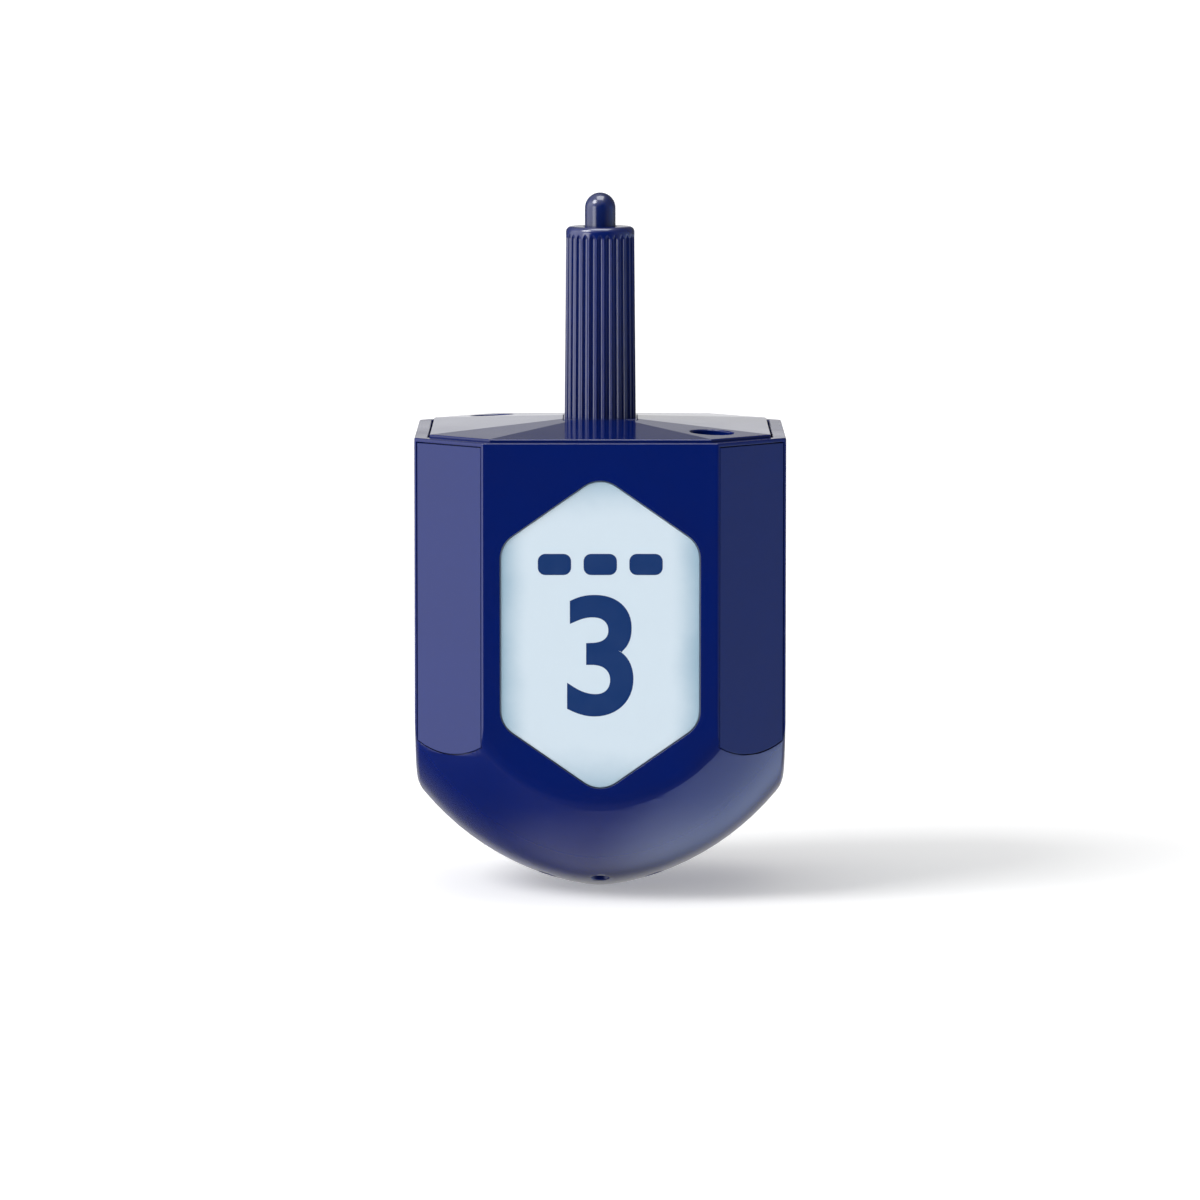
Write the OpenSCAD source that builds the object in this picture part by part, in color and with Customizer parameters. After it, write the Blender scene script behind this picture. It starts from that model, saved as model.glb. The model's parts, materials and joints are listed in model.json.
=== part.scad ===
// Light-up spinning top: four flat sides with lit windows, cut corners, a domed underside with a
// speaker in it, and a lid with a fluted handle and a push button. The origin is the middle of the
// small foot that it stands on, +Z is up, and all sizes are in millimetres.

/* [Body] */
// Width across two opposite flat sides
body_w = 60; // [58:0.5:62]
// Leg of each corner cut, measured along a flat side
corner_cut = 11.15; // [10.6:0.05:11.6]
// Height of the rim above the foot
body_h = 74.85; // [74:0.05:77]
// Wall thickness of the shell
wall = 3; // [2.8:0.1:3.2]
// Radius of the arc that the domed underside is turned from
dome_r = 44.7; // [44:0.1:46]
// How far outside the body's corners that arc would stand upright
dome_over = 3.72; // [3.2:0.02:4.3]
// Diameter of the flat foot at the tip
foot_d = 6; // [5:0.5:7]
// Radius with which a flat side rolls into the dome
blend_r = 5; // [4:0.5:6]

/* [Windows] */
// Strip of flat side left beside a window
window_side = 2.77; // [2.6:0.05:3.4]
// Flat side left above a window's upper point, before rounding
window_above = 5; // [4.5:0.1:7]
// Flat side left below a window's lower point, before rounding
window_below = 1.48; // [1.4:0.02:3]
// Slope of the four slanting edges, in degrees
window_slant = 34.9; // [30:0.1:38]
// Corner radius
window_corner = 4.5; // [3:0.1:6]
// How far the lens lies below the flat side
window_sink = 0.3; // [0.1:0.05:0.6]
// Thickness of the lens face
lens_t = 1.5; // [1.2:0.1:2]

/* [Corner panels] */
// Strip of shell left beside a panel
panel_lip = 0.4; // [0.35:0.05:0.8]
// Gap around a panel
panel_gap = 0.15; // [0.1:0.05:0.4]
// Panel thickness
panel_t = 1; // [0.8:0.1:1.2]
// How far a panel lies below the cut corner
panel_sink = 0.08; // [0.05:0.01:0.25]
// Shell left above a panel
panel_above = 0.6; // [0.5:0.1:2]

/* [Lid] */
// Width of the rim around the lid
rim_w = 2.15; // [2:0.05:2.25]
// Gap between rim and lid
lid_gap = 0.3; // [0.25:0.05:0.45]
// Thickness of the lid at its edge
lid_edge = 2.45; // [2.25:0.05:2.65]
// How far that edge stands above the rim
lid_proud = 0.45; // [0.2:0.05:0.6]
// Rise of the lid's facets from edge to apex
lid_rise = 1.91; // [1.6:0.01:2.3]
// Distance of the two screws from the planes of the cut corners
screw_in = 9.1; // [8.8:0.1:9.6]
// Diameter of the screw wells
well_d = 7; // [6.6:0.1:7.4]

/* [Handle] */
// Diameter at the foot of the handle
handle_d = 11.7; // [11.4:0.1:12]
// How much thinner the handle is at its top, on each side
handle_taper = 0.25; // [0.15:0.05:0.4]
// Height of the handle above its pad
handle_h = 31.2; // [29:0.1:34]
// Number of flutes
flutes = 28; // [24:1:30]
// Radius of each flute
flute_r = 0.55; // [0.45:0.01:0.58]
// Depth of each flute
flute_depth = 0.42; // [0.3:0.01:0.5]
// Smooth collar above the flutes
collar_h = 0.1; // [0:0.1:2]
// How far the square pad stands out around the handle
pad_lip = 0.15; // [0.1:0.05:0.35]

/* [Button] */
// Diameter of the button
button_d = 5; // [4.8:0.1:5.2]
// How far it stands out of the handle
button_out = 5.5; // [4:0.1:7]
// How far it can be pressed
travel = 1.5; // [1:0.1:1.6]
// Wire of the return spring
spring_wire = 0.5; // [0.4:0.05:0.6]
// Working turns of the return spring
spring_turns = 8; // [6:1:10]

/* [Sound and light] */
// Speaker diameter
speaker_d = 28.2; // [27:0.1:28.4]
// Speaker holes in the dome
hole_count = 6; // [5:1:6]
// Diameter of each speaker hole
hole_d = 3; // [2.6:0.1:3.2]
// Radius of the ring of speaker holes
hole_ring = 10.2; // [9.6:0.1:10.4]
// Diameter of each lamp
led_d = 5; // [4.6:0.1:5.2]
// Cell diameter
cell_d = 10.5; // [10.2:0.1:10.7]
// Height of the contacts under the cells
contact_h = 2.8; // [2.4:0.1:3.4]

/* [Hidden] */
$fn = 96;
navy = [0.06, 0.11, 0.33];
deep_navy = [0.05, 0.09, 0.28];
milky = [0.85, 0.91, 0.96];
core_white = [0.93, 0.93, 0.91];
steel = [0.72, 0.73, 0.75];
board_green = [0.10, 0.36, 0.20];
black = [0.07, 0.07, 0.08];

sides = ["front", "right", "back", "left"];
corners = ["front_right", "back_right", "back_left", "front_left"];

// Outline of the body in plan: flats at half_w, corner planes at corner_at.
half_w = body_w / 2;
flat_half = half_w - corner_cut;
corner_at = (body_w - corner_cut) / sqrt(2);
corner_half = corner_cut / sqrt(2);
vertex_at = norm([half_w, flat_half]);

// Domed underside: an arc whose centre lies beyond the axis, cut flat at the foot.
dome_shift = dome_r - vertex_at - dome_over;
dome_centre = sqrt(pow(dome_r, 2) - pow(foot_d / 2 + dome_shift, 2));
function dome_z(r, inset = 0) = dome_centre - sqrt(pow(dome_r - inset, 2) - pow(r + dome_shift, 2));
function dome_at(z, inset = 0) = sqrt(pow(dome_r - inset, 2) - pow(dome_centre - z, 2)) - dome_shift;

// The line where a flat side meets the dome is close to a circle about blend_z.
crease_low = dome_z(half_w);
crease_rise = dome_z(vertex_at) - crease_low;
crease_r = (pow(flat_half, 2) + pow(crease_rise, 2)) / (2 * crease_rise);
blend_z = crease_low + crease_r;
blend_turn = acos((half_w - blend_r + dome_shift) / (dome_r - blend_r)) - 4;
blend_from = blend_z - dome_centre
    + sqrt(pow(dome_r - blend_r, 2) - pow(half_w - blend_r + dome_shift, 2));

// Windows, as points across and up on a flat side.
window_half = flat_half - window_side;
window_low = crease_low + window_below;
window_high = body_h - window_above;
slant_rise = window_half * tan(window_slant);
window_hex = [
    [0, window_low],
    [window_half, window_low + slant_rise],
    [window_half, window_high - slant_rise],
    [0, window_high],
    [-window_half, window_high - slant_rise],
    [-window_half, window_low + slant_rise]
];
lens_fit = 0.15;
flange_w = 1.1;
flange_t = 1.2;
inner_w = half_w - wall;

// Corner panels.
pocket_depth = panel_t + panel_sink;
pocket_half = corner_half - panel_lip;
edge_bite = 0.05;

// Lid, handle and button, from the rim up.
lid_top = body_h + lid_proud;
lid_z = lid_top - lid_edge;
lid_half = half_w - rim_w - lid_gap;
lid_corner = corner_at - rim_w - lid_gap;
lid_apex = lid_top + lid_rise;
lid_under = lid_z + 1.45;
lid_land = 8.5;
lid_hollow_r = lid_half - lid_land;
well_floor = lid_z - 3.85;
well_wall = 1.1;
floor_t = 1.5;
pad_fit = 0.1;
pad_w = handle_d + 2 * pad_lip;
handle_top_d = handle_d - 2 * handle_taper;
handle_bore_r = 3.8;
pad_z = lid_apex - lid_rise * (pad_w / 2 + pad_fit) / lid_half;
pad_t = 1.5;
spigot_r = handle_bore_r + 1.2;
spigot_z = lid_z + 0.15;
retainer_w = 2.6;
retainer_t = 0.8;
handle_top = pad_z + handle_h;
handle_round = 0.9;
flute_end = 0.9;
slide_fit = 0.15;
chamber_top = handle_top - 4.5;
stop_t = 1.45;
stop_gap = 0.05;
stop_z = chamber_top - stop_gap - stop_t;
rod_r = 1.5;
button_top = handle_top + button_out;
bush_z = pad_z + 1.2;
bush_h = 8;
spring_low = bush_z + bush_h;
spring_r = 2.6;

// Switch and light core, from the lid down.
press_z = lid_z + 0.95;
switch_h = 3.5;
switch_w = 6;
plunger_r = 1.6;
board_t = 1.6;
switch_z = press_z - travel - switch_h;
switch_board_z = switch_z - board_t;
column_at = corner_at - screw_in;
column_r = 3.5;
part_gap = 1;
switch_board_r = column_at - well_d / 2 - well_wall - part_gap;
hold_r = 2;
hold_at = switch_board_r - hold_r - part_gap;
bridge_t = 0.4;
bridge_w = 7;
cell_top = switch_board_z - bridge_t;
cell_at = cell_d / 2 + 0.45;
cell_room = 0.25;
tube_wall = 1.2;
tube_r = cell_d / 2 + cell_room + tube_wall;
board_boss_r = 2.8;
board_boss_at = tube_r + board_boss_r - 0.3;
fin_t = 1.4;
fin_reach = column_at - column_r - 0.4;

// Speaker, main board and lamps, from the dome up.
speaker_r = speaker_d / 2;
ring_wall_r = speaker_r + 0.2;
stud_at = ring_wall_r + 3.3;
stud_r = 2.5;
stud_turn = 22.5;
clamp_drop = 3.2;
seat_z = max(dome_z(ring_wall_r, wall) + 0.9, dome_z(stud_at + stud_r, wall) + 0.3 - clamp_drop);
seat_in = speaker_r - 1.7;
cone_lip = 1.5;
cone_in = 4;
cone_h = 2.3;
cone_t = 0.5;
frame_t = 1;
frame_h = 4.2;
magnet_r = 7;
magnet_h = 3;
clamp_z = seat_z + clamp_drop;
clamp_t = 1.4;
board_z = seat_z + frame_h + magnet_h + 1.4;
board_r = min(dome_at(board_z, wall), inner_w - flange_t) - part_gap;
notch_gap = 0.6;
lamp_z = board_z + board_t;
lamp_at = (cell_at + tube_r + inner_w - flange_t) / 2;
lamp_flange = 0.4;
lamp_foot = 1;
lamp_h = 6;
chip_at = [5.2, tube_r + 5.3];
floor_top = lamp_z + tube_wall;
cell_low = floor_top + contact_h;
cell_l = cell_top - cell_low;
screw_r = 1;
screw_room = 0.05;
head_r = 2;
head_h = 1.4;
slot_w = 0.4;
slot_t = 0.6;
lid_grip = 8;
core_grip = 6;
stud_grip = 3;
over = 20;
lead_r = 0.5;

// Plan outline with flats at flat_at and corner planes at cut_at.
module plan(flat_at, cut_at) {
    v = cut_at * sqrt(2) - flat_at;
    polygon([
        [flat_at, -v], [flat_at, v], [v, flat_at], [-v, flat_at],
        [-flat_at, v], [-flat_at, -v], [-v, -flat_at], [v, -flat_at]
    ]);
}

// Unit normal that points out of the edge from a to b, for points listed anticlockwise.
function edge_normal(a, b) = [b.y - a.y, a.x - b.x] / norm(b - a);

// Points of a polygon with rounded corners of radius r, moved outwards by grow.
function rounded(pts, r, grow = 0, steps = 8) = [
    for (i = [0 : len(pts) - 1])
        let (
            p = pts[i],
            n1 = edge_normal(pts[(i + len(pts) - 1) % len(pts)], p),
            n2 = edge_normal(p, pts[(i + 1) % len(pts)]),
            centre = p - r * (n1 + n2) / (1 + n1 * n2),
            from = atan2(n1.y, n1.x),
            turn = acos(n1 * n2)
        )
        for (k = [0 : steps])
            centre + (r + grow) * [cos(from + turn * k / steps), sin(from + turn * k / steps)]
];

// Points on an arc about c, from angle a1 to a2.
function arc(c, r, a1, a2, steps = 8) = [
    for (k = [0 : steps])
        let (a = a1 + (a2 - a1) * k / steps)
        c + r * [cos(a), sin(a)]
];

// Points on a smooth curve through the route, steps to each stretch.
function smooth_route(p, steps = 3) = concat(
    [for (i = [0 : len(p) - 2], k = [0 : steps - 1])
        let (
            t = k / steps,
            a = p[max(i - 1, 0)],
            b = p[i],
            c = p[i + 1],
            d = p[min(i + 2, len(p) - 1)]
        )
        0.5 * (2 * b + (c - a) * t + (2 * a - 5 * b + 4 * c - d) * t * t
            + (3 * b - a - 3 * c + d) * t * t * t)],
    [p[len(p) - 1]]
);

// Skin over rings of points, with flat ends.
module skin(rings) {
    n = len(rings[0]);
    last = len(rings) - 1;
    walls = [for (i = [0 : last - 1], k = [0 : n - 1])
        let (a = i * n + k, b = i * n + (k + 1) % n)
        each [[a, a + n, b + n], [a, b + n, b]]];
    start = [for (k = [1 : n - 2]) [0, k, k + 1]];
    end = [for (k = [1 : n - 2]) [last * n, last * n + k + 1, last * n + k]];
    polyhedron(points = [for (r = rings) each r], faces = concat(walls, start, end));
}

// Round lead along a route, with its end faces level.
module lead(route, r, side = [1, 0, 0]) {
    p = smooth_route(route);
    last = len(p) - 1;
    skin([for (i = [0 : last])
        let (
            level = i == 0 || i == last,
            way = level ? [0, 0, 1] : p[i + 1] - p[i - 1],
            across = cross(way, side),
            u = across / norm(across),
            w = cross(u, way) / norm(way)
        )
        [for (k = [0 : 7]) p[i] + r * (cos(k * 45) * u + sin(k * 45) * w)]]);
}

// Coil spring with one closed turn at each end.
module coil(r, wire, low, high, turns) {
    per_turn = 10;
    closed = wire * 1.05;
    rise = high - low - wire - 2 * closed;
    all = turns + 2;
    function height(t) = low + wire / 2 + closed * min(t, 1)
        + rise * min(max((t - 1) / turns, 0), 1) + closed * max(t - 1 - turns, 0);
    skin([for (i = [0 : all * per_turn])
        let (a = 360 * i / per_turn, z = height(i / per_turn))
        [for (k = [0 : 5])
            [(r + wire / 2 * cos(60 * k)) * cos(a), (r + wire / 2 * cos(60 * k)) * sin(a),
             z + wire / 2 * sin(60 * k)]]]);
}

// Points up the dome's arc, from radius r_from to where the arc stands upright.
function dome_points(inset, r_from, steps = 24) =
    let (r = dome_r - inset, from = asin((r_from + dome_shift) / r))
    [for (k = [0 : steps])
        let (a = from + (90 - from) * k / steps)
        [r * sin(a) - dome_shift, dome_centre - r * cos(a)]];

// Dome and the space above it, turned from one arc.
module dome_form(inset, r_from, high) {
    pts = dome_points(inset, r_from);
    rotate_extrude() polygon(concat(
        [[0, pts[0].y]], r_from > 0 ? pts : [for (k = [1 : len(pts) - 1]) pts[k]],
        [[dome_r - inset - dome_shift, high], [0, high]]
    ));
}

// Ring that rolls the lower edge of one flat side into the dome.
module side_roll() {
    steps = 8;
    out = 4;
    first = blend_turn / steps / 2;
    end = [blend_from + blend_r * sin(blend_turn), half_w - blend_r + blend_r * cos(blend_turn)];
    translate([0, 0, blend_z]) rotate([90, 0, 0])
        rotate_extrude(angle = 180, start = 180) polygon(concat(
            [[blend_from - 0.5, half_w + out], [blend_from - 0.5, half_w + 0.5 * tan(first)]],
            [for (k = [1 : steps])
                let (a = blend_turn * k / steps)
                [blend_from + blend_r * sin(a), half_w - blend_r + blend_r * cos(a)]],
            [end + 12 * [cos(blend_turn), -sin(blend_turn)],
             [end.x + 12 * cos(blend_turn), half_w + out]]
        ));
}

module outer_form() {
    difference() {
        intersection() {
            dome_form(0, foot_d / 2, body_h);
            linear_extrude(body_h) plan(half_w, corner_at);
        }
        for (i = [0 : 3]) rotate(90 * i) side_roll();
    }
}

// Inside of the shell, inset from the outer form.
module inner_form(inset, high) {
    intersection() {
        dome_form(inset, 0, high);
        linear_extrude(high) plan(half_w - inset, corner_at - inset);
    }
}

// Outline on a flat side, raised from depth in to depth out.
module on_side(from, to) {
    translate([0, -from, 0]) rotate([90, 0, 0]) linear_extrude(to - from) children();
}

// Corner panel outline with its lower end on the dome's edge, shrunk by shrink.
module panel_outline(shrink) {
    w = pocket_half - shrink;
    steps = 10;
    polygon(concat(
        [[w, body_h - panel_above - shrink], [-w, body_h - panel_above - shrink]],
        [for (k = [0 : steps])
            let (t = -w + 2 * w * k / steps)
            [t, dome_z(norm([corner_at, t])) - edge_bite + shrink]]
    ));
}

// Outline on a cut corner, raised from depth in to depth out.
module on_corner(from, to) {
    translate([from, 0, 0]) rotate([90, 0, 90]) linear_extrude(to - from) children();
}

// Screw with a round head that rests at head_z.
module screw(head_z, point_z, head = head_r) {
    translate([0, 0, head_z])
        difference() {
            cylinder(r = head, h = head_h);
            translate([-head * 0.6, -slot_w / 2, head_h - slot_t]) cube([head * 1.2, slot_w, over]);
            translate([-slot_w / 2, -head * 0.6, head_h - slot_t]) cube([slot_w, head * 1.2, over]);
        }
    translate([0, 0, point_z]) cylinder(r = screw_r, h = head_z - point_z);
}

// Places of the studs that carry speaker clamp and main board.
module at_studs() {
    for (i = [0 : 3]) rotate(stud_turn + 90 * i) translate([stud_at, 0, 0]) children();
}

// Places of the two lid screws, on one diagonal.
module at_lid_screws() {
    for (a = [-45, 135]) rotate(a) translate([column_at, 0, 0]) children();
}

module body_shell() {
    well_low = well_floor - floor_t;
    color(navy)
        difference() {
            union() {
                difference() {
                    outer_form();
                    inner_form(wall, lid_z);
                    translate([0, 0, lid_z]) linear_extrude(body_h)
                        plan(half_w - rim_w, corner_at - rim_w);
                }
                intersection() {
                    inner_form(wall / 2, lid_z);
                    union() {
                        difference() {
                            cylinder(r = ring_wall_r + 1.5, h = seat_z + 3);
                            translate([0, 0, -1]) cylinder(r = seat_in, h = body_h);
                            translate([0, 0, seat_z]) cylinder(r = ring_wall_r, h = body_h);
                        }
                        at_studs() difference() {
                            cylinder(r = stud_r, h = clamp_z);
                            translate([0, 0, -1]) cylinder(r = 0.2, h = 2);
                        }
                        for (a = [45, 225]) rotate(a) column(lid_z);
                        for (a = [-45, 135]) rotate(a) column(well_low);
                    }
                }
            }
            for (i = [0 : 3]) rotate(90 * i)
                on_side(inner_w - 1, half_w + 1) polygon(rounded(window_hex, window_corner));
            for (i = [0 : 3]) rotate(90 * i - 45)
                on_corner(corner_at - pocket_depth, corner_at + 2) panel_outline(0);
            for (i = [0 : hole_count - 1]) rotate(-90 + 360 / hole_count * i)
                translate([hole_ring, 0, -1]) cylinder(d = hole_d, h = seat_z);
            at_studs() translate([0, 0, clamp_z - stud_grip - 0.2])
                cylinder(r = screw_r + screw_room, h = over);
            at_lid_screws() translate([0, 0, well_low - lid_grip - 3])
                cylinder(r = screw_r + screw_room, h = over);
        }
}

// Corner column with the web that ties it to the wall.
module column(top) {
    translate([column_at, 0, 0]) cylinder(r = column_r, h = top);
    translate([column_at, -1.5, 0]) cube([corner_at - column_at, 3, top]);
}

module corner_panel(i) {
    color(deep_navy)
        rotate(90 * i - 45)
            on_corner(corner_at - pocket_depth, corner_at - panel_sink) panel_outline(panel_gap);
}

module window_lens(i) {
    color(milky)
        rotate(90 * i)
            difference() {
                union() {
                    on_side(inner_w, half_w - window_sink)
                        polygon(rounded(window_hex, window_corner, -lens_fit));
                    on_side(inner_w - flange_t, inner_w)
                        polygon(rounded(window_hex, window_corner, flange_w));
                }
                on_side(inner_w - flange_t - 1, half_w - window_sink - lens_t)
                    polygon(rounded(window_hex, window_corner, -lens_fit - lens_t));
            }
}

module lid() {
    color(navy)
        difference() {
            union() {
                difference() {
                    translate([0, 0, lid_z]) linear_extrude(lid_edge + lid_rise)
                        plan(lid_half, lid_corner);
                    for (i = [0 : 7]) rotate(45 * i)
                        translate([0, 0, lid_apex])
                            rotate([0, atan(lid_rise / (i % 2 == 0 ? lid_half : lid_corner)), 0])
                                translate([-10, -body_w, 0]) cube([body_w, 2 * body_w, body_w]);
                    translate([0, 0, lid_z - 1]) cylinder(r = lid_hollow_r, h = lid_under - lid_z + 1);
                }
                at_lid_screws() translate([0, 0, well_floor - floor_t])
                    cylinder(d = well_d + 2 * well_wall, h = lid_z - well_floor + floor_t + 1);
                for (x = [-hold_at, hold_at]) translate([x, 0, switch_z])
                    cylinder(r = hold_r, h = lid_under - switch_z + 0.5);
            }
            at_lid_screws() {
                translate([0, 0, well_floor]) cylinder(d = well_d, h = over);
                translate([0, 0, well_floor - floor_t - 1]) cylinder(r = screw_r + 0.3, h = over);
            }
            translate([-pad_w / 2 - pad_fit, -pad_w / 2 - pad_fit, pad_z - pad_t])
                cube([pad_w + 2 * pad_fit, pad_w + 2 * pad_fit, over]);
            translate([0, 0, lid_under - 1]) cylinder(r = spigot_r + 0.05, h = over);
        }
}

module lid_screws() {
    color(steel)
        at_lid_screws() screw(well_floor, well_floor - floor_t - lid_grip, well_d / 2 - 0.9);
}

module handle() {
    lean = atan((handle_d - handle_top_d) / 2 / handle_h);
    flute_top = handle_h - collar_h - handle_round;
    color(navy)
        difference() {
            union() {
                difference() {
                    translate([0, 0, pad_z]) rotate_extrude() polygon(concat(
                        [[0, 0], [handle_d / 2, 0]],
                        arc([handle_top_d / 2 - handle_round, handle_h - handle_round],
                            handle_round, 0, 90),
                        [[0, handle_h]]
                    ));
                    for (i = [0 : flutes - 1]) rotate(360 / flutes * i)
                        translate([handle_d / 2 + flute_r - flute_depth, 0, pad_z])
                            rotate([0, -lean, 0]) {
                                translate([0, 0, -1])
                                    cylinder(r = flute_r, h = flute_top - flute_end + 1, $fn = 24);
                                translate([0, 0, flute_top - flute_end])
                                    cylinder(r1 = flute_r, r2 = 0.05, h = flute_end, $fn = 24);
                            }
                }
                translate([-pad_w / 2, -pad_w / 2, pad_z - pad_t]) cube([pad_w, pad_w, pad_t]);
                translate([0, 0, spigot_z]) cylinder(r = spigot_r, h = pad_z - spigot_z);
            }
            translate([0, 0, spigot_z - 1]) cylinder(r = handle_bore_r, h = chamber_top - spigot_z + 1);
            translate([0, 0, chamber_top - 1]) cylinder(r = button_d / 2 + slide_fit, h = over);
        }
}

module handle_retainer() {
    color(steel)
        translate([0, 0, lid_under - retainer_t])
            difference() {
                cylinder(r = spigot_r + retainer_w, h = retainer_t);
                translate([0, 0, -1]) cylinder(r = spigot_r, h = over);
            }
}

module button() {
    r = button_d / 2;
    color(navy)
        rotate_extrude() polygon(concat(
            [[0, press_z], [rod_r, press_z], [rod_r, stop_z],
             [handle_bore_r - 0.3, stop_z], [handle_bore_r - 0.3, stop_z + stop_t],
             [r, stop_z + stop_t]],
            arc([0, button_top - r], r, 0, 90, 12)
        ));
}

module button_spring() {
    color(steel) coil(spring_r, spring_wire, spring_low, stop_z, spring_turns);
}

module button_guide() {
    color(core_white)
        translate([0, 0, bush_z])
            difference() {
                cylinder(r = handle_bore_r, h = bush_h);
                translate([0, 0, -1]) cylinder(r = rod_r + slide_fit, h = bush_h + 2);
            }
}

module switch_board() {
    color(board_green)
        translate([0, 0, switch_board_z])
            difference() {
                cylinder(r = switch_board_r, h = board_t);
                for (y = [-board_boss_at, board_boss_at]) translate([0, y, -1])
                    cylinder(r = screw_r + 0.2, h = 4);
            }
}

module switch_board_screws() {
    color(steel)
        for (y = [-board_boss_at, board_boss_at]) translate([0, y, 0])
            screw(switch_z, switch_board_z - core_grip);
}

module switch_body() {
    color(black)
        difference() {
            translate([-switch_w / 2, -switch_w / 2, switch_z]) cube([switch_w, switch_w, switch_h]);
            translate([0, 0, switch_z + 0.4]) cylinder(r = plunger_r + 0.1, h = switch_h);
        }
}

module switch_plunger() {
    color(core_white)
        translate([0, 0, switch_z + 0.5 + travel])
            cylinder(r = plunger_r, h = press_z - switch_z - 0.5 - travel);
}

module battery_bridge() {
    color(steel)
        translate([-cell_at - bridge_w / 2, -bridge_w / 2, cell_top])
            cube([2 * cell_at + bridge_w, bridge_w, bridge_t]);
}

// Cell with its button end up or down.
module cell(x, up) {
    nub_h = 0.8;
    translate([x, 0, (cell_low + cell_top) / 2]) mirror([0, 0, up ? 0 : 1])
        translate([0, 0, -cell_l / 2]) {
            cylinder(d = cell_d, h = cell_l - nub_h);
            translate([0, 0, cell_l - nub_h - 0.1]) cylinder(d = 3.8, h = nub_h + 0.1);
        }
}

module battery_left() {
    color([0.55, 0.56, 0.58]) cell(-cell_at, true);
}

module battery_right() {
    color([0.55, 0.56, 0.58]) cell(cell_at, false);
}

module contact_spring() {
    color(steel)
        translate([-cell_at, 0, 0]) coil(2.8, 0.5, floor_top, cell_low, 2);
}

// Bent strip under the right cell's button end.
module contact_strip() {
    t = 0.4;
    high = cell_low - floor_top;
    color(steel)
        translate([cell_at, 2, floor_top]) rotate([90, 0, 0])
            linear_extrude(4) polygon([
                [-3, 0], [3, 0], [3, high], [-3, high], [-3, high - t],
                [3 - t, high - t], [3 - t, t], [-3, t]
            ]);
}

// Battery tube with the four fins that part the light of the windows.
module light_core() {
    high = switch_board_z - lamp_z;
    color(core_white)
        translate([0, 0, lamp_z])
            difference() {
                union() {
                    tube_form(tube_r, high);
                    for (i = [0 : 3]) rotate(45 + 90 * i)
                        translate([0, -fin_t / 2, 0]) cube([fin_reach, fin_t, high]);
                    for (y = [-board_boss_at, board_boss_at])
                        translate([0, y, high - core_grip - 4]) cylinder(r = board_boss_r, h = core_grip + 4);
                }
                translate([0, 0, tube_wall]) tube_form(tube_r - tube_wall, high);
                for (y = [-board_boss_at, board_boss_at]) translate([0, y, high - core_grip - 2])
                    cylinder(r = screw_r + screw_room, h = over);
            }
}

// Two round ends and a straight middle, around two cells side by side.
module tube_form(r, high) {
    linear_extrude(high) polygon(concat(
        arc([cell_at, 0], r, -90, 90, 24), arc([-cell_at, 0], r, 90, 270, 24)
    ));
}

module main_board() {
    color(board_green)
        translate([0, 0, board_z])
            difference() {
                cylinder(r = board_r, h = board_t);
                for (i = [0 : 3]) rotate(45 + 90 * i)
                    translate([column_at - column_r - notch_gap, -column_r - notch_gap, -1])
                        cube([board_r, 2 * (column_r + notch_gap), over]);
                at_studs() translate([0, 0, -1]) cylinder(r = screw_r + 0.2, h = over);
            }
}

module main_board_screws() {
    color(steel)
        at_studs() screw(lamp_z, clamp_z - stud_grip);
}

module sound_chip() {
    color(black)
        translate([chip_at.x, chip_at.y, lamp_z]) {
            translate([-2.5, -1.5, 0.2]) cube([5, 3, 1.3]);
            translate([-2.3, -2, 0]) cube([4.6, 4, 0.3]);
        }
}

module lamp(i) {
    r = led_d / 2;
    color(milky)
        rotate(90 * i - 90) translate([lamp_at, 0, lamp_z])
            rotate_extrude() polygon(concat(
                [[0, 0], [r + lamp_flange, 0], [r + lamp_flange, lamp_foot], [r, lamp_foot]],
                arc([0, lamp_h], r, 0, 90, 8)
            ));
}

module speaker_frame() {
    color(steel)
        translate([0, 0, seat_z]) {
            rotate_extrude() polygon([
                [speaker_r - 1.5, 0], [speaker_r, 0], [speaker_r, frame_t], [speaker_r - 1.7, frame_t],
                [magnet_r + 1, frame_h], [0, frame_h], [0, frame_h - 0.6],
                [magnet_r + 0.6, frame_h - 0.6], [speaker_r - 2.3, 0.6], [speaker_r - 1.5, 0.6]
            ]);
            difference() {
                translate([-3, 8.4, 2.2]) cube([6, 2.8, frame_h - 2.2]);
                rotate_extrude() polygon([
                    [0, 0], [speaker_r - 2, 0.8], [magnet_r + 0.8, frame_h - 0.3], [0, frame_h - 0.3]
                ]);
            }
        }
}

module speaker_cone() {
    r = speaker_r - cone_lip;
    color(black)
        translate([0, 0, seat_z])
            rotate_extrude() polygon([
                [0, cone_h * 0.7], [cone_in, cone_h], [r - cone_lip, 0], [r, 0], [r, cone_t],
                [r - cone_lip * 0.9, cone_t], [cone_in, cone_h + cone_t], [0, cone_h * 0.7 + cone_t]
            ]);
}

module speaker_magnet() {
    color([0.25, 0.25, 0.27])
        translate([0, 0, seat_z + frame_h]) cylinder(r = magnet_r, h = magnet_h);
}

// Ring that presses on the speaker's flange, with the pillars that carry the main board.
module speaker_clamp() {
    lip_out = speaker_r - 0.2;
    lip_in = speaker_r - 1.5;
    color(core_white)
        difference() {
            union() {
                translate([0, 0, seat_z + frame_t]) cylinder(r = lip_out, h = clamp_z - seat_z);
                translate([0, 0, clamp_z]) cylinder(r = ring_wall_r + 1.5, h = clamp_t);
                at_studs() translate([0, 0, clamp_z]) cylinder(r = stud_r, h = board_z - clamp_z);
            }
            translate([0, 0, seat_z]) cylinder(r = lip_in, h = 20);
            at_studs() cylinder(r = screw_r + 0.2, h = board_z + 1);
        }
}

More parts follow.
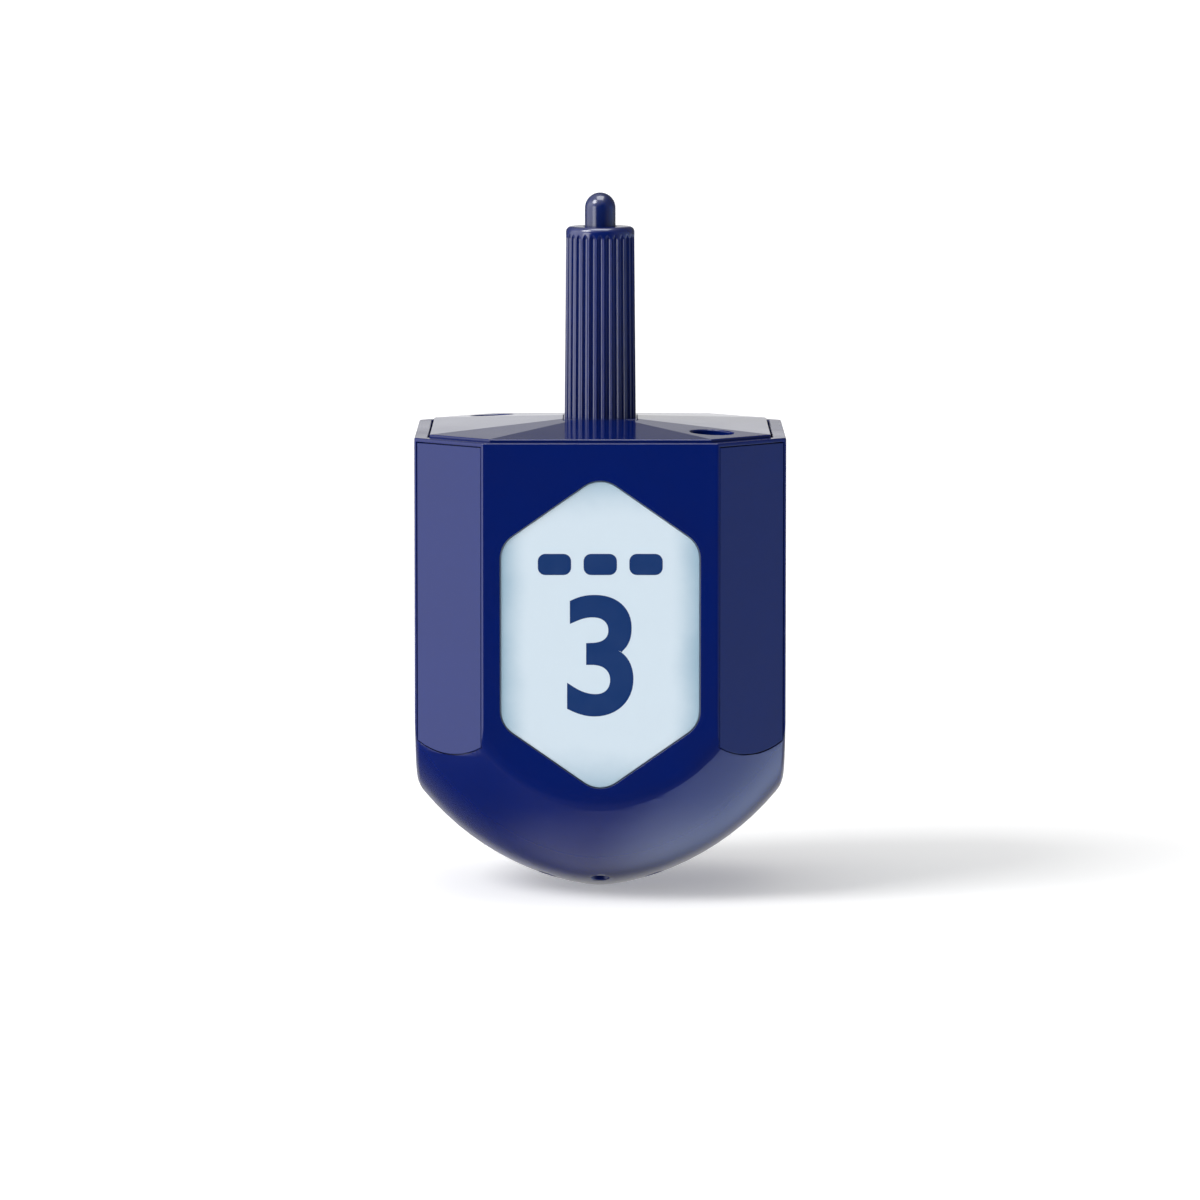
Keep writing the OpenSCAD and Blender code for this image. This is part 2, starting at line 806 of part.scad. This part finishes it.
// The two leads from the speaker's tab to the main board, and the two up to the switch board.
module speaker_lead(x) {
    tab_z = seat_z + frame_h;
    gap = board_z - tab_z;
    lead([
        [x, 9.9, tab_z], [x, 9.9, tab_z + gap * 0.15], [x * 1.2, 10.3, tab_z + gap * 0.4],
        [x * 1.7, 10.9, tab_z + gap * 0.65], [x * 1.9, 11.1, tab_z + gap * 0.85],
        [x * 1.9, 11.1, board_z]
    ], lead_r);
}

module switch_lead(x) {
    y = -tube_r - 1.1;
    gap = switch_board_z - lamp_z;
    lead([
        [x, y, lamp_z], [x, y, lamp_z + gap * 0.04], [x - 0.15, y - 0.2, lamp_z + gap * 0.2],
        [x + 0.1, y - 0.1, lamp_z + gap * 0.4], [x, y - 0.3, lamp_z + gap * 0.6],
        [x - 0.1, y - 0.1, lamp_z + gap * 0.8], [x, y, lamp_z + gap * 0.96], [x, y, switch_board_z]
    ], lead_r);
}

module speaker_lead_red() {
    color([0.7, 0.1, 0.1]) speaker_lead(-1.6);
}

module speaker_lead_black() {
    color(black) speaker_lead(1.6);
}

module switch_lead_red() {
    color([0.7, 0.1, 0.1]) switch_lead(-3.4);
}

module switch_lead_black() {
    color(black) switch_lead(-5);
}

body_shell();
for (i = [0 : 3]) {
    corner_panel(i);
    window_lens(i);
    lamp(i);
}
lid();
lid_screws();
handle();
handle_retainer();
button();
button_spring();
button_guide();
switch_board();
switch_board_screws();
switch_body();
switch_plunger();
battery_bridge();
battery_left();
battery_right();
contact_spring();
contact_strip();
light_core();
main_board();
main_board_screws();
sound_chip();
speaker_frame();
speaker_cone();
speaker_magnet();
speaker_clamp();
speaker_lead_red();
speaker_lead_black();
switch_lead_red();
switch_lead_black();
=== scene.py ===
import json
import math
import bpy
import bmesh
from mathutils import Matrix, Vector


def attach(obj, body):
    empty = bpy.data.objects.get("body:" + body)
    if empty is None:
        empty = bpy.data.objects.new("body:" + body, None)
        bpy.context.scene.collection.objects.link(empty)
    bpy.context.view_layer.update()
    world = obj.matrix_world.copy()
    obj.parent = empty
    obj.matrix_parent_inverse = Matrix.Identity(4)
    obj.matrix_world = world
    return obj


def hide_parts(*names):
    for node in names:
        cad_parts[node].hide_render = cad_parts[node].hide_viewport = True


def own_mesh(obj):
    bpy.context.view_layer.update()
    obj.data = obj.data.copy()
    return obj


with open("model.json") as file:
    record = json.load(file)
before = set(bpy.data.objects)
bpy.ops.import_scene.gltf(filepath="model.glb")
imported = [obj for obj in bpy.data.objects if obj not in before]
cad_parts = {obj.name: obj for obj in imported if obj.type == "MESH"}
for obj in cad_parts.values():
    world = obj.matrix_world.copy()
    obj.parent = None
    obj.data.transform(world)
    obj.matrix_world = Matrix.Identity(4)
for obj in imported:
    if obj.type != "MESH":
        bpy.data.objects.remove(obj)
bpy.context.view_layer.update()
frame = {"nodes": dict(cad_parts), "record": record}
nodes = frame["nodes"]
mm = 0.001
scene = bpy.context.scene
scene.view_settings.view_transform = "Standard"    # colours come out as picked
print("frame loaded:", len(nodes), "nodes")


def linear(code):    # sRGB hex to linear RGBA
    parts = [int(code[i:i + 2], 16) / 255 for i in (1, 3, 5)]
    return [c / 12.92 if c <= 0.04045 else ((c + 0.055) / 1.055) ** 2.4 for c in parts] + [1]


def addNode(tree, kind, settings=None, links=None):    # settings are attributes or input values
    node = tree.nodes.new("ShaderNode" + kind)
    for key, value in (settings or {}).items():
        if isinstance(key, str) and hasattr(node, key):
            setattr(node, key, value)
        else:
            node.inputs[key].default_value = value
    for key, output in (links or {}).items():
        tree.links.new(output, node.inputs[key])
    return node


# camera: matched to the outline of body, lid and handle
cameraLook = {"place": (0, -1266.87, 175.59), "dip": 5.811, "lens": 232.95, "shift": -0.0002,
              "sensor": 36, "far": 60}    # place, lens and sensor in mm, dip in degrees, far in metres
photoCamera = bpy.data.objects.new("photoCamera", bpy.data.cameras.new("photoCamera"))
photoCamera.data.lens = cameraLook["lens"]
photoCamera.data.sensor_width = cameraLook["sensor"]
photoCamera.data.shift_x = cameraLook["shift"]
photoCamera.data.clip_end = cameraLook["far"]
photoCamera.location = [c * mm for c in cameraLook["place"]]
photoCamera.rotation_euler = (math.radians(90 - cameraLook["dip"]), 0, 0)
scene.collection.objects.link(photoCamera)
scene.camera = photoCamera
print("camera set")

# studio light: one broad key for the shadow, the rest a soft surround that the gloss mirrors
keyLook = {"from": (-0.82, -0.5, 0.9), "strength": 1.62, "spread": 28}
softbox = {"at": (0, -0.06, 0.62), "size": 0.36, "power": 1.7}    # overhead, only for the gleam on edges
surround = {
    "level": 0.8,
    "base": 0.2,
    "backdrop": "#ffffff",
    "glows": [    # where it lies, half-angles of its core and of its edge, how much light it adds, its tint
        {"towards": (-0.42, -0.15, 0.9), "core": 25, "edge": 72, "light": 0.8},
        {"towards": (-1, -0.05, -0.02), "core": 16, "edge": 46, "light": 1.58},
        {"towards": (0, -1, -0.1), "core": 30, "edge": 58, "light": -0.2},
        {"towards": (-0.72, -0.69, 0.02), "core": 7, "edge": 17, "light": 3.6},
        {"towards": (0, 1, 0.06), "core": 3.5, "edge": 8, "light": 0.78},
        {"towards": (0.65, 0.3, -0.66), "core": 16, "edge": 46, "light": 1.55, "tint": "#cce0ff"},
        {"towards": (1, 0.02, -0.1), "core": 10, "edge": 26, "light": 0.3, "tint": "#8cb8ff"},
        {"towards": (0.05, 0.36, -0.93), "core": 8, "edge": 32, "light": 0.5},
        {"towards": (-0.75, 0.3, -0.6), "core": 12, "edge": 36, "light": -0.15},
        {"towards": (0, 0.96, -0.28), "core": 5, "edge": 24, "light": 0.48},
    ],
}
key = bpy.data.objects.new("keyLight", bpy.data.lights.new("keyLight", "SUN"))
key.data.energy = keyLook["strength"]
key.data.angle = math.radians(keyLook["spread"])
key.location = keyLook["from"]
key.rotation_euler = Vector(keyLook["from"]).to_track_quat("Z", "Y").to_euler()
scene.collection.objects.link(key)
gleam = bpy.data.objects.new("gleamLight", bpy.data.lights.new("gleamLight", "AREA"))
gleam.data.energy = softbox["power"]
gleam.data.size = softbox["size"]
gleam.location = softbox["at"]
gleam.visible_diffuse = False
scene.collection.objects.link(gleam)

scene.world = bpy.data.worlds.new("studio")
scene.world.use_nodes = True
sky = scene.world.node_tree
sky.nodes.clear()
outward = addNode(sky, "TexCoord").outputs["Generated"]
total = None
for glow in surround["glows"]:
    cosine = addNode(sky, "VectorMath", {
        "operation": "DOT_PRODUCT", 1: Vector(glow["towards"]).normalized()}, {0: outward})
    lobe = addNode(sky, "MapRange", {
        "interpolation_type": "SMOOTHSTEP",
        "From Min": math.cos(math.radians(glow["edge"])), "From Max": math.cos(math.radians(glow["core"]))},
        {"Value": cosine.outputs["Value"]})
    shine = [c * glow["light"] for c in linear(glow.get("tint", "#ffffff"))[:3]]
    total = addNode(sky, "VectorMath", {"operation": "MULTIPLY_ADD", 1: shine, 2: [surround["base"]] * 3},
                    {0: lobe.outputs["Result"], **({2: total} if total else {})}).outputs[0]
light = addNode(sky, "VectorMath", {"operation": "MAXIMUM", 1: (0, 0, 0)}, {0: total})
seen = addNode(sky, "Background", {"Color": linear(surround["backdrop"])})
mirrored = addNode(sky, "Background", {"Strength": surround["level"]}, {"Color": light.outputs[0]})
pick = addNode(sky, "MixShader", {}, {
    0: addNode(sky, "LightPath").outputs["Is Camera Ray"],
    1: mirrored.outputs[0], 2: seen.outputs[0]})
addNode(sky, "OutputWorld", {}, {"Surface": pick.outputs[0]})
print("light set")


# materials: a moulding's real grain is finer than these, which are drawn as coarse as they need to show
noiseLook = {"patchDetail": 3, "grainDetail": 2, "patchRange": (0.2, 0.8), "grainHeight": 0.1}


def finish(look):    # patchy colour, patchy gloss and a fine grain, all sized in mm
    material = bpy.data.materials.new(look["name"])
    material.use_nodes = True
    tree = material.node_tree
    tree.nodes.clear()
    place = addNode(tree, "TexCoord").outputs["Object"]
    patch = addNode(tree, "TexNoise", {
        "Scale": 1 / (look["patch"] * mm), "Detail": noiseLook["patchDetail"]}, {"Vector": place})
    grain = addNode(tree, "TexNoise", {
        "Scale": 1 / (look["grain"] * mm), "Detail": noiseLook["grainDetail"]}, {"Vector": place})
    colour = addNode(tree, "Mix", {
        "data_type": "RGBA", 6: linear(look["colour"]), 7: linear(look["shade"])},
        {0: patch.outputs["Fac"]})
    gloss = addNode(tree, "MapRange", {
        "interpolation_type": "SMOOTHSTEP",
        "From Min": noiseLook["patchRange"][0], "From Max": noiseLook["patchRange"][1],
        "To Min": look["rough"][0], "To Max": look["rough"][1]}, {"Value": patch.outputs["Fac"]})
    relief = addNode(tree, "Bump", {
        "Strength": look["relief"], "Distance": look["grain"] * noiseLook["grainHeight"] * mm},
        {"Height": grain.outputs["Fac"]})
    surface = addNode(tree, "BsdfPrincipled", {
        "Metallic": look.get("metal", 0), "IOR": look.get("ior", 1.5), "Emission Color": linear("#ffffff"),
        "Emission Strength": look.get("glow", 0)}, {
        "Base Color": colour.outputs[2], "Roughness": gloss.outputs["Result"],
        "Normal": relief.outputs["Normal"]})
    addNode(tree, "OutputMaterial", {}, {"Surface": surface.outputs[0]})
    return material


finishes = {
    "navy_shell": finish({    # ABS moulded in a fine-eroded tool: deep blue, satin, soft reflections
        "name": "navyMouldedAbs", "colour": "#001a68", "shade": "#00165d", "patch": 14, "grain": 0.35,
        "rough": (0.15, 0.2), "relief": 0.08, "ior": 1.52}),
    "navy_panel": finish({    # the same ABS from a duller tool face: broader reflections
        "name": "navyPanelAbs", "colour": "#011e69", "shade": "#011b62", "patch": 18, "grain": 0.4,
        "rough": (0.22, 0.26), "relief": 0.1, "ior": 1.52}),
    "navy_button": finish({    # ABS from a polished cavity: brighter highlights than the body's
        "name": "navyPolishedAbs", "colour": "#071f60", "shade": "#061b55", "patch": 4, "grain": 0.3,
        "rough": (0.17, 0.23), "relief": 0.1, "ior": 1.8}),
    "steel": finish({    # zinc-plated steel: grey mirror with cloudy plating
        "name": "zincPlatedSteel", "colour": "#c6c9cc", "shade": "#a9adb1", "patch": 1.5, "grain": 0.2,
        "rough": (0.25, 0.42), "relief": 0.3, "metal": 1}),
    "white_plastic": finish({    # white polystyrene from a matt tool: soft, even white
        "name": "whiteMouldedStyrene", "colour": "#efefec", "shade": "#e4e4e0", "patch": 9, "grain": 0.4,
        "rough": (0.45, 0.58), "relief": 0.3}),
    "black_plastic": finish({    # black epoxy and nylon mouldings, matt
        "name": "blackMouldedNylon", "colour": "#161618", "shade": "#1f1f22", "patch": 2, "grain": 0.15,
        "rough": (0.5, 0.65), "relief": 0.5}),
    "circuit_board": finish({    # green solder mask over glass cloth: a wavy gloss
        "name": "greenSolderMask", "colour": "#1c6a3c", "shade": "#145230", "patch": 3, "grain": 0.5,
        "rough": (0.25, 0.4), "relief": 0.4}),
    "cell_jacket": finish({    # aluminium-look printed sleeve on a steel can
        "name": "satinCellSleeve", "colour": "#9a9da2", "shade": "#85888d", "patch": 6, "grain": 0.6,
        "rough": (0.3, 0.4), "relief": 0.15, "metal": 0.8}),
    "lamp_resin": finish({    # cast epoxy: cloudy white, glossy
        "name": "castLampResin", "colour": "#eef3f6", "shade": "#dfe8ee", "patch": 2.5, "grain": 0.5,
        "rough": (0.08, 0.16), "relief": 0.1}),
    "cone_paper": finish({    # pressed paper pulp, dyed black: dull and rough
        "name": "pressedConePaper", "colour": "#1a1a1c", "shade": "#28282b", "patch": 1.2, "grain": 0.25,
        "rough": (0.75, 0.9), "relief": 0.9}),
    "magnet": finish({    # sintered ferrite, ground faces: dark grey, dull
        "name": "sinteredFerrite", "colour": "#3d3d40", "shade": "#2f2f32", "patch": 1.5, "grain": 0.2,
        "rough": (0.45, 0.6), "relief": 0.6}),
    "lead_red": finish({    # extruded soft vinyl: a dull shine
        "name": "redVinylInsulation", "colour": "#b41f1c", "shade": "#9e1917", "patch": 2, "grain": 0.3,
        "rough": (0.35, 0.5), "relief": 0.2}),
    "lead_black": finish({    # the same vinyl in black
        "name": "blackVinylInsulation", "colour": "#1b1b1d", "shade": "#262628", "patch": 2, "grain": 0.3,
        "rough": (0.35, 0.5), "relief": 0.2}),
}
lidAbs = finish({    # the lid's tool face is polished: it mirrors the backdrop at a low angle
    "name": "navyPolishedLidAbs", "colour": "#001c6c", "shade": "#001861", "patch": 14, "grain": 0.35,
    "rough": (0.1, 0.14), "relief": 0.08, "ior": 1.52})
gripAbs = finish({    # handled and worn to a sheen: the ridges catch more light than the body does
    "name": "navyRubbedGripAbs", "colour": "#021d69", "shade": "#01185c", "patch": 5, "grain": 0.35,
    "rough": (0.15, 0.21), "relief": 0.08, "ior": 1.8})
printInk = finish({    # screen-printed blue ink: about as satin as the lens under it
    "name": "screenPrintInk", "colour": "#03316d", "shade": "#043775", "patch": 2.5, "grain": 0.25,
    "rough": (0.32, 0.42), "relief": 0.2})
paleFloor = finish({    # seamless studio paper, lit a little from below
    "name": "studioPaper", "colour": "#f8f8f8", "shade": "#f6f6f6", "patch": 400, "grain": 3,
    "rough": (0.85, 0.95), "relief": 0.05, "glow": 0.33})

# milky polycarbonate lens given a painted glow from within: bluish white, with painted shade that makes it
# dimmer towards its edge
lensGlow = {
    # the edge colour is painted shade, and the glow is painted light
    "middle": "#ccdbe6", "edge": "#92b0c3", "glow": 0.105,
    "half": (16, 25.8),    # mm, about half its width and height
    "centre": (29.7, 44.06),    # mm, its middle, out and up
    "cloud": 7, "cloudDepth": 0.24, "paintedEdgeShade": (0.48, 1.06),
    "rough": 0.34, "ior": 1.58, "grain": 0.4, "relief": 0.15, "deep": 0.03,
}
lensMilk = bpy.data.materials.new("milkyPolycarbonate")
lensMilk.use_nodes = True
tree = lensMilk.node_tree
tree.nodes.clear()
place = addNode(tree, "TexCoord").outputs["Object"]
flat = addNode(tree, "VectorMath", {"operation": "MULTIPLY", 1: (1, 1, 0)}, {0: place})
spread = addNode(tree, "VectorMath", {"operation": "DOT_PRODUCT"}, {0: flat.outputs[0], 1: flat.outputs[0]})
across = addNode(tree, "MapRange", {    # squared distance from the lens's middle line, 1 at its edge
    "From Min": (lensGlow["centre"][0] * mm) ** 2,
    "From Max": (lensGlow["centre"][0] * mm) ** 2 + (lensGlow["half"][0] * mm) ** 2, "clamp": False},
    {"Value": spread.outputs["Value"]})
height = addNode(tree, "SeparateXYZ", {}, {0: place})
level = addNode(tree, "MapRange", {
    "From Min": lensGlow["centre"][1] * mm, "From Max": (lensGlow["centre"][1] + lensGlow["half"][1]) * mm,
    "clamp": False}, {"Value": height.outputs["Z"]})
upDown = addNode(tree, "Math", {"operation": "MULTIPLY"}, {
    0: level.outputs["Result"], 1: level.outputs["Result"]})
rim = addNode(tree, "Math", {"operation": "MAXIMUM"}, {0: across.outputs["Result"], 1: upDown.outputs[0]})
cloud = addNode(tree, "TexNoise", {
    "Scale": 1 / (lensGlow["cloud"] * mm), "Detail": noiseLook["patchDetail"]}, {"Vector": place})
cloudy = addNode(tree, "Math", {"operation": "MULTIPLY_ADD", 1: lensGlow["cloudDepth"],
                                2: -lensGlow["cloudDepth"] / 2}, {0: cloud.outputs["Fac"]})
edgeShare = addNode(tree, "Math", {"operation": "ADD"}, {0: rim.outputs[0], 1: cloudy.outputs[0]})
# painted shade: the lens darkens towards its edge, mixed with random cloudiness
paintedEdgeShade = addNode(tree, "MapRange", {
    "interpolation_type": "SMOOTHSTEP", "From Min": lensGlow["paintedEdgeShade"][0], "From Max": lensGlow["paintedEdgeShade"][1]},
    {"Value": edgeShare.outputs[0]})
milkWithPaintedShade = addNode(tree, "Mix", {
    "data_type": "RGBA", 6: linear(lensGlow["middle"]), 7: linear(lensGlow["edge"])},
    {0: paintedEdgeShade.outputs["Result"]})
fine = addNode(tree, "TexNoise", {
    "Scale": 1 / (lensGlow["grain"] * mm), "Detail": noiseLook["grainDetail"]}, {"Vector": place})
relief = addNode(tree, "Bump", {"Strength": lensGlow["relief"], "Distance": lensGlow["deep"] * mm},
                 {"Height": fine.outputs["Fac"]})
# the lens emits its own colour as a painted glow
surface = addNode(tree, "BsdfPrincipled", {
    "Roughness": lensGlow["rough"], "IOR": lensGlow["ior"], "Emission Strength": lensGlow["glow"]}, {
    "Base Color": milkWithPaintedShade.outputs[2], "Emission Color": milkWithPaintedShade.outputs[2], "Normal": relief.outputs["Normal"]})
addNode(tree, "OutputMaterial", {}, {"Surface": surface.outputs[0]})
finishes["milky_lens"] = lensMilk
print("materials made")

slotOf = {part["node"]: part["material_slot"] for part in frame["record"]["subparts"]}
for name, node in nodes.items():
    node.data.materials.clear()
    node.data.materials.append(finishes[slotOf[name]])


# pieces, sized in mm
def makePiece(bm, name, material, crease=30):    # smooth but for its creases, normals weighted by area
    for face in bm.faces:
        face.smooth = True
        face.material_index = 0
    for edge in bm.edges:
        edge.smooth = edge.is_manifold and edge.calc_face_angle() < math.radians(crease)
    mesh = bpy.data.meshes.new(name)
    bm.to_mesh(mesh)
    bm.free()
    if "custom_normal" in mesh.attributes:
        mesh.attributes.remove(mesh.attributes["custom_normal"])
    mesh.materials.append(material)
    piece = bpy.data.objects.new(name, mesh)
    scene.collection.objects.link(piece)
    weighted = piece.modifiers.new("weightedNormals", "WEIGHTED_NORMAL")
    weighted.keep_sharp = True
    return piece


# tolerances in mm, the angle past which an edge is rounded, and in how many steps
edgeLook = {"weld": 0.002, "cutWeld": 0.005, "onCut": 0.01, "near": 0.02, "sharp": 30, "steps": 3}


def roundedCopy(nodeName, name, groups, body="shell", cuts=(), flat=0.4, crease=30):
    bm = bmesh.new()    # a merged copy of the CAD node, flat faces joined and outer edges rounded
    bm.from_mesh(nodes[nodeName].data)
    bmesh.ops.remove_doubles(bm, verts=bm.verts, dist=edgeLook["weld"] * mm)
    for normal, out in cuts:    # parts wide faces, so that no bevel folds them
        everything = bm.verts[:] + bm.edges[:] + bm.faces[:]
        bmesh.ops.bisect_plane(bm, geom=everything, dist=edgeLook["cutWeld"] * mm,
                               plane_co=Vector(normal) * out * mm, plane_no=normal)
    kept = set()
    for normal, out in cuts:
        kept.update(
            edge for edge in bm.edges
            if all(abs(v.co.dot(Vector(normal)) - out * mm) < edgeLook["onCut"] * mm for v in edge.verts))
    bmesh.ops.dissolve_limit(bm, angle_limit=math.radians(flat), verts=bm.verts,
                             edges=[edge for edge in bm.edges if edge not in kept])
    for size, picks in groups:
        sharp = [edge for edge in bm.edges
                 if edge.is_manifold and edge.calc_face_angle_signed() > math.radians(edgeLook["sharp"])
                 and picks((edge.verts[0].co + edge.verts[1].co) / (2 * mm))]
        bmesh.ops.bevel(bm, geom=sharp, offset=size * mm, offset_type="OFFSET", segments=edgeLook["steps"],
                        profile=0.5, affect="EDGES", material=-1, clamp_overlap=False)
    piece = makePiece(bm, name, finishes[slotOf[nodeName]], crease)
    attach(piece, body)
    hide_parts(nodeName)
    return piece


def sideway(p):    # distance out from the axis, towards the nearest flat side
    return max(abs(p.x), abs(p.y))


def cornerway(p):    # distance out from the axis, towards the nearest cut corner
    return (abs(p.x) + abs(p.y)) / math.sqrt(2)


shellLook = {
    "half": 30, "corner": 34.54, "rimTop": 74.85, "domeEdge": 12, "lip": 0.4, "bed": 0.08,
    "holesTop": 3.2, "holesRing": (6, 14),
    "upright": 0.22, "rim": 0.25, "opening": 0.08, "hole": 0.15,    # how far each kind of edge is rounded
    "cuts": [    # level at two heights, then upright through the axis, an eighth of a turn apart
        ((0, 0, 1), 28), ((0, 0, 1), 73.4),
        ((1, 0, 0), 0), ((0, 1, 0), 0), ((1, 1, 0), 0), ((1, -1, 0), 0)],
}
roundedCopy("body_shell", "shellBody", [
    (shellLook["upright"], lambda p: sideway(p) > shellLook["half"] - edgeLook["near"]
        and cornerway(p) > shellLook["corner"] - edgeLook["near"]),
    (shellLook["rim"], lambda p: p.z > shellLook["rimTop"] - edgeLook["near"]),
    (shellLook["opening"], lambda p: shellLook["domeEdge"] < p.z < shellLook["rimTop"] - shellLook["lip"]
        and (sideway(p) > shellLook["half"] - edgeLook["near"]
             or cornerway(p) > shellLook["corner"] - shellLook["bed"])),
    (shellLook["hole"], lambda p: p.z < shellLook["holesTop"]
        and shellLook["holesRing"][0] < math.hypot(p.x, p.y) < shellLook["holesRing"][1]),
], cuts=shellLook["cuts"])
print("shell done")

panelLook = {"face": 34.46, "edge": 0.1}
for corner in ("front_right", "back_right", "back_left", "front_left"):
    roundedCopy("corner_panel_" + corner, "panel_" + corner, [
        (panelLook["edge"], lambda p: cornerway(p) > panelLook["face"] - edgeLook["near"])])
lensLook = {"face": 29.7, "edge": 0.16}
for side in ("front", "right", "back", "left"):
    roundedCopy("window_" + side, "lens_" + side, [
        (lensLook["edge"], lambda p: sideway(p) > lensLook["face"] - edgeLook["near"])])
print("panels and lenses done")

lidLook = {"low": 74, "pad": 6.3, "edge": 0.25, "recess": 0.1, "crease": 2}    # its low facets stay crisp
lid = roundedCopy("lid", "lidTop", [
    (lidLook["edge"], lambda p: p.z > lidLook["low"] and sideway(p) > lidLook["pad"]),
    (lidLook["recess"], lambda p: p.z > lidLook["low"] and sideway(p) < lidLook["pad"]),
], crease=lidLook["crease"])
lid.data.materials[0] = lidAbs
screwLook = {"low": 69, "edge": 0.12}
roundedCopy("lid_screws", "lidScrews", [(screwLook["edge"], lambda p: p.z > screwLook["low"])])
handleLook = {"low": 76.7, "top": 107.9, "core": 5, "ridge": 0.08, "mouth": 0.25, "flat": 1.2}
grip = roundedCopy("handle", "handleGrip", [
    (handleLook["mouth"], lambda p: p.z > handleLook["top"]),
    (handleLook["ridge"], lambda p: p.z > handleLook["low"] and math.hypot(p.x, p.y) > handleLook["core"]),
], flat=handleLook["flat"])
grip.data.materials[0] = gripAbs
roundedCopy("button", "pushButton", [], "push_button")
spring = roundedCopy("button_spring", "buttonSpring", [])
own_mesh(spring)
print("lid, handle and button done")

# printed numerals, one to each window, under a bar that is parted into as many pieces
printLook = {
    "thick": 0.04, "sunk": 0.02, "tall": 19.6, "middle": 40.7,
    "weight": 0.022, "weld": 1e-5,    # in the letter shapes' own units
    "row": 55.4, "bar": (20, 3.4), "gap": 2, "round": 0.35, "steps": 6,
    "drawn": {    # outlines in mm, the counter of the four after its outside
        1: [[(-1.9, 0), (1.9, 0), (1.9, 19.6), (-1.3, 19.6), (-5.6, 16), (-5.6, 11.9), (-1.9, 14.7)]],
        4: [[(2.4, 0), (6.2, 0), (6.2, 4.4), (8.4, 4.4), (8.4, 8), (6.2, 8), (6.2, 19.6), (1.6, 19.6),
             (-7.4, 8.2), (-7.4, 4.4), (2.4, 4.4)], [(2.4, 8), (2.4, 14.4), (-2.65, 8)]],
    },
}
for turn, (side, number) in enumerate((("front", 3), ("right", 4), ("back", 1), ("left", 2))):
    bm = bmesh.new()
    if number in printLook["drawn"]:
        for outline in printLook["drawn"][number]:
            corners = [bm.verts.new((x, y, 0)) for x, y in outline]
            for a, b in zip(corners, corners[1:] + corners[:1]):
                bm.edges.new((a, b))
        bmesh.ops.triangle_fill(bm, use_beauty=True, edges=bm.edges[:], normal=(0, 0, 1))
    else:    # the round ones come from the built-in letter shapes
        text = bpy.data.curves.new("numeral", "FONT")
        text.body = str(number)
        text.offset = printLook["weight"]
        holder = bpy.data.objects.new("numeral", text)
        scene.collection.objects.link(holder)
        shaped = holder.evaluated_get(bpy.context.evaluated_depsgraph_get())
        bm.from_mesh(bpy.data.meshes.new_from_object(shaped))
        bpy.data.objects.remove(holder)
        bmesh.ops.remove_doubles(bm, verts=bm.verts, dist=printLook["weld"])
    low = Vector((min(v.co.x for v in bm.verts), min(v.co.y for v in bm.verts), 0))
    high = Vector((max(v.co.x for v in bm.verts), max(v.co.y for v in bm.verts), 0))
    size = printLook["tall"] / (high.y - low.y)
    bmesh.ops.translate(bm, vec=-(low + high) / 2, verts=bm.verts)
    bmesh.ops.scale(bm, vec=(size, size, 1), verts=bm.verts)
    bmesh.ops.translate(bm, vec=(0, printLook["middle"], 0), verts=bm.verts)
    barLong = (printLook["bar"][0] + printLook["gap"]) / number - printLook["gap"]
    for i in range(number):
        bar = bmesh.ops.create_grid(bm, x_segments=1, y_segments=1, size=0.5)["verts"]
        bmesh.ops.scale(bm, vec=(barLong, printLook["bar"][1], 1), verts=bar)
        along = (i - (number - 1) / 2) * (barLong + printLook["gap"])
        bmesh.ops.translate(bm, vec=(along, printLook["row"], 0), verts=bar)
        bmesh.ops.bevel(bm, geom=bar, offset=printLook["bar"][1] * printLook["round"], offset_type="OFFSET",
                        segments=printLook["steps"], profile=0.5, affect="VERTICES", material=-1)
    bmesh.ops.recalc_face_normals(bm, faces=bm.faces)
    raised = bmesh.ops.extrude_face_region(bm, geom=bm.faces[:])
    bmesh.ops.translate(bm, vec=(0, 0, printLook["thick"]),
                        verts=[g for g in raised["geom"] if isinstance(g, bmesh.types.BMVert)])
    bmesh.ops.recalc_face_normals(bm, faces=bm.faces)
    bmesh.ops.translate(bm, vec=(0, 0, lensLook["face"] - printLook["sunk"]), verts=bm.verts)
    for angle, axis in ((90, "X"), (90 * turn, "Z")):    # upright, then round to its side
        bmesh.ops.rotate(bm, cent=(0, 0, 0), matrix=Matrix.Rotation(math.radians(angle), 3, axis),
                         verts=bm.verts)
    bmesh.ops.scale(bm, vec=(mm, mm, mm), verts=bm.verts)
    piece = makePiece(bm, "print_" + side, printInk)
    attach(piece, "shell")
print("numerals done")

floorLook = {"half": 14}    # metres
bm = bmesh.new()
bmesh.ops.create_grid(bm, x_segments=1, y_segments=1, size=floorLook["half"])
floor = makePiece(bm, "floor", paleFloor)
floor.visible_glossy = False    # the satin mirrors the surround, not the paper
